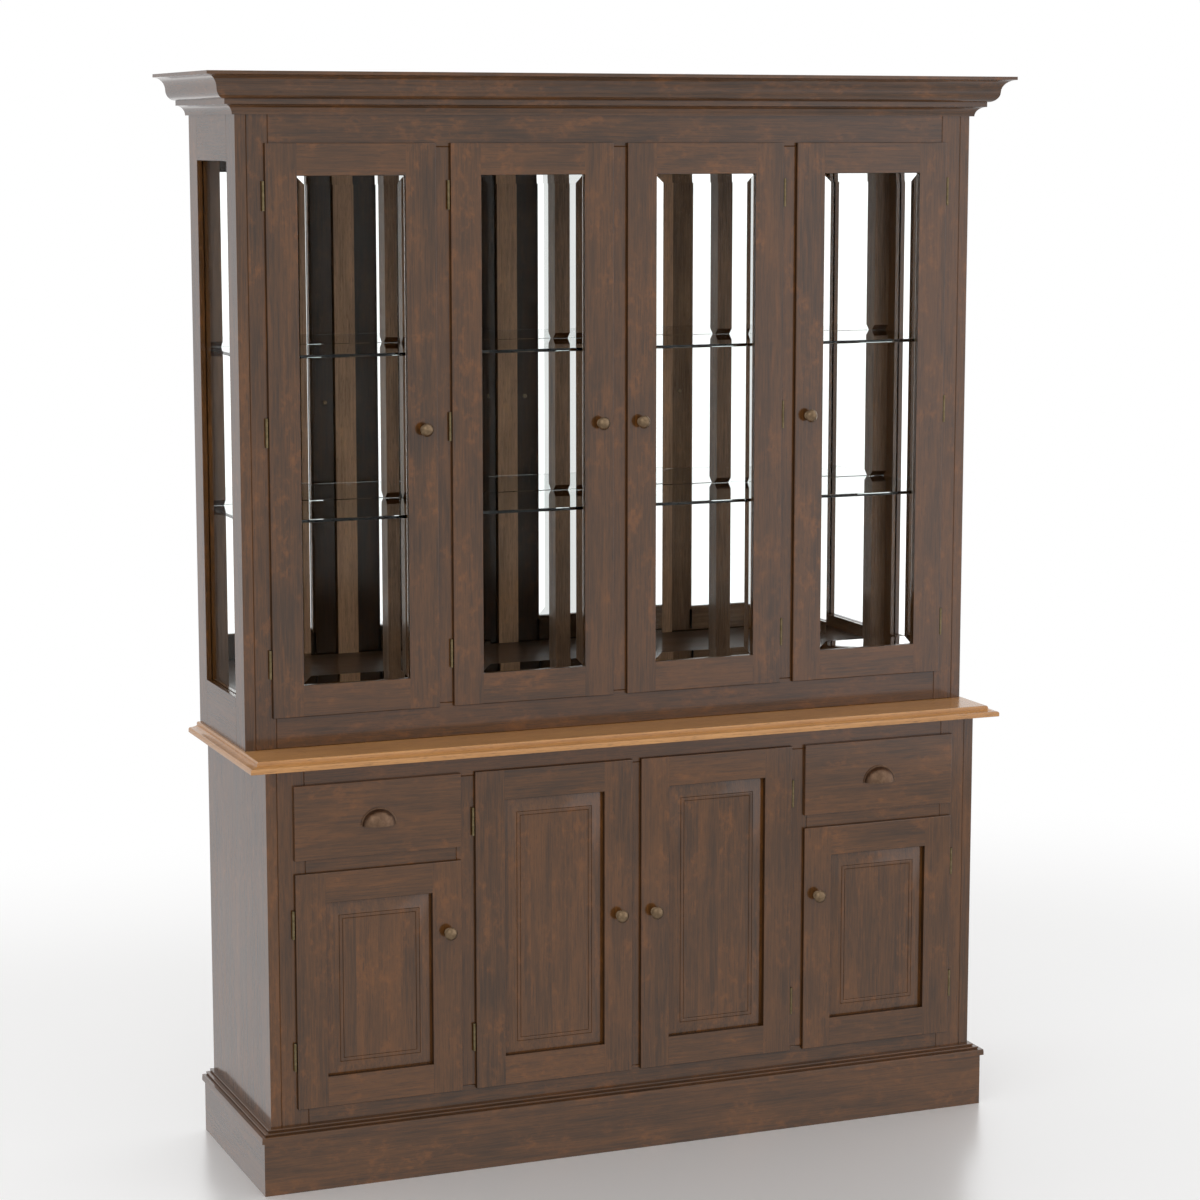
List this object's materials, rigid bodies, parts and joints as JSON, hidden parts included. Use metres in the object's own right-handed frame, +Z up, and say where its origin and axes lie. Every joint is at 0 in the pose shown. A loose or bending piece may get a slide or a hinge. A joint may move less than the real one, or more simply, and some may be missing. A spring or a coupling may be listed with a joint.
{
  "type": "dresser with hutch",
  "caption": "Dresser with a glazed, mirror-backed hutch on a base with panelled cupboard doors and drawers; doors swing and drawers slide.",
  "frame": {"origin": "on the floor, at the middle of the counter's width and depth", "axes": "+Z up, +X to the right as seen from the front, the front faces -Y"},
  "size_m": [1.611, 0.441, 2.04],
  "materials": {
    "stained_wood": "dark brown stain under satin lacquer",
    "counter_wood": "clear satin lacquer on honey coloured wood",
    "drawer_wood": "pale wood, clear sealer",
    "back_board": "stained plywood",
    "clear_glass": "polished clear glass",
    "mirror_glass": "silvered mirror",
    "antique_brass": "antiqued, rubbed on the high places",
    "pin_steel": "plain turned",
    "catch_magnet": "moulded housing"
  },
  "bodies": {
    "carcass": {"door_catches": "catch_magnet", "frame_hinges": "antique_brass", "drawer_runners": "drawer_wood", "base_shelves": "stained_wood", "hutch_shelf_pins": "pin_steel", "base_shelf_pins": "pin_steel", "hutch_face_frame": "stained_wood", "base_face_frame": "stained_wood", "hutch_sides": "stained_wood", "hutch_side_glass": "clear_glass", "hutch_floor_and_top": "stained_wood", "hutch_back": "back_board", "hutch_mirror": "mirror_glass", "hutch_back_posts": "stained_wood", "hutch_glass_shelves": "clear_glass", "base_sides": "stained_wood", "base_floor_and_partitions": "stained_wood", "base_back": "back_board", "counter_top": "counter_wood", "cornice": "stained_wood", "plinth_boards": "stained_wood", "plinth_mould": "stained_wood"},
    "hutch_door_1": {"hutch_door_1_frame": "stained_wood", "hutch_door_1_glass": "clear_glass", "hutch_door_1_knob": "antique_brass", "hutch_door_1_fittings": "antique_brass"},
    "hutch_door_2": {"hutch_door_2_frame": "stained_wood", "hutch_door_2_glass": "clear_glass", "hutch_door_2_knob": "antique_brass", "hutch_door_2_fittings": "antique_brass"},
    "hutch_door_3": {"hutch_door_3_frame": "stained_wood", "hutch_door_3_glass": "clear_glass", "hutch_door_3_knob": "antique_brass", "hutch_door_3_fittings": "antique_brass"},
    "hutch_door_4": {"hutch_door_4_frame": "stained_wood", "hutch_door_4_glass": "clear_glass", "hutch_door_4_knob": "antique_brass", "hutch_door_4_fittings": "antique_brass"},
    "base_door_1": {"base_door_1_frame": "stained_wood", "base_door_1_panel": "stained_wood", "base_door_1_knob": "antique_brass", "base_door_1_fittings": "antique_brass"},
    "base_door_2": {"base_door_2_frame": "stained_wood", "base_door_2_panel": "stained_wood", "base_door_2_knob": "antique_brass", "base_door_2_fittings": "antique_brass"},
    "base_door_3": {"base_door_3_frame": "stained_wood", "base_door_3_panel": "stained_wood", "base_door_3_knob": "antique_brass", "base_door_3_fittings": "antique_brass"},
    "base_door_4": {"base_door_4_frame": "stained_wood", "base_door_4_panel": "stained_wood", "base_door_4_knob": "antique_brass", "base_door_4_fittings": "antique_brass"},
    "drawer_left": {"drawer_left_front": "stained_wood", "drawer_left_box": "drawer_wood", "drawer_left_pull": "antique_brass"},
    "drawer_right": {"drawer_right_front": "stained_wood", "drawer_right_box": "drawer_wood", "drawer_right_pull": "antique_brass"}
  },
  "joints": [
    {"name": "hutch_door_1_hinge", "type": "hinge", "parent": "carcass", "child": "hutch_door_1", "pos_m": [-0.6894, -0.1039, 1.393], "axis": [0, 0, -1], "range_deg": [0, 110]},
    {"name": "hutch_door_2_hinge", "type": "hinge", "parent": "carcass", "child": "hutch_door_2", "pos_m": [-0.3394, -0.1039, 1.393], "axis": [0, 0, -1], "range_deg": [0, 110]},
    {"name": "hutch_door_3_hinge", "type": "hinge", "parent": "carcass", "child": "hutch_door_3", "pos_m": [0.3394, -0.1039, 1.393], "axis": [0, 0, 1], "range_deg": [0, 110]},
    {"name": "hutch_door_4_hinge", "type": "hinge", "parent": "carcass", "child": "hutch_door_4", "pos_m": [0.6894, -0.1039, 1.393], "axis": [0, 0, 1], "range_deg": [0, 110]},
    {"name": "base_door_1_hinge", "type": "hinge", "parent": "carcass", "child": "base_door_1", "pos_m": [-0.6774, -0.1864, 0.37475], "axis": [0, 0, -1], "range_deg": [0, 110]},
    {"name": "base_door_2_hinge", "type": "hinge", "parent": "carcass", "child": "base_door_2", "pos_m": [-0.3287, -0.1864, 0.457], "axis": [0, 0, -1], "range_deg": [0, 90]},
    {"name": "base_door_3_hinge", "type": "hinge", "parent": "carcass", "child": "base_door_3", "pos_m": [0.3287, -0.1864, 0.457], "axis": [0, 0, 1], "range_deg": [0, 90]},
    {"name": "base_door_4_hinge", "type": "hinge", "parent": "carcass", "child": "base_door_4", "pos_m": [0.6774, -0.1864, 0.37475], "axis": [0, 0, 1], "range_deg": [0, 110]},
    {"name": "drawer_left_slide", "type": "slide", "parent": "carcass", "child": "drawer_left", "axis": [0, -1, 0], "range_m": [0, 0.29]},
    {"name": "drawer_right_slide", "type": "slide", "parent": "carcass", "child": "drawer_right", "axis": [0, -1, 0], "range_m": [0, 0.29]}
  ]
}
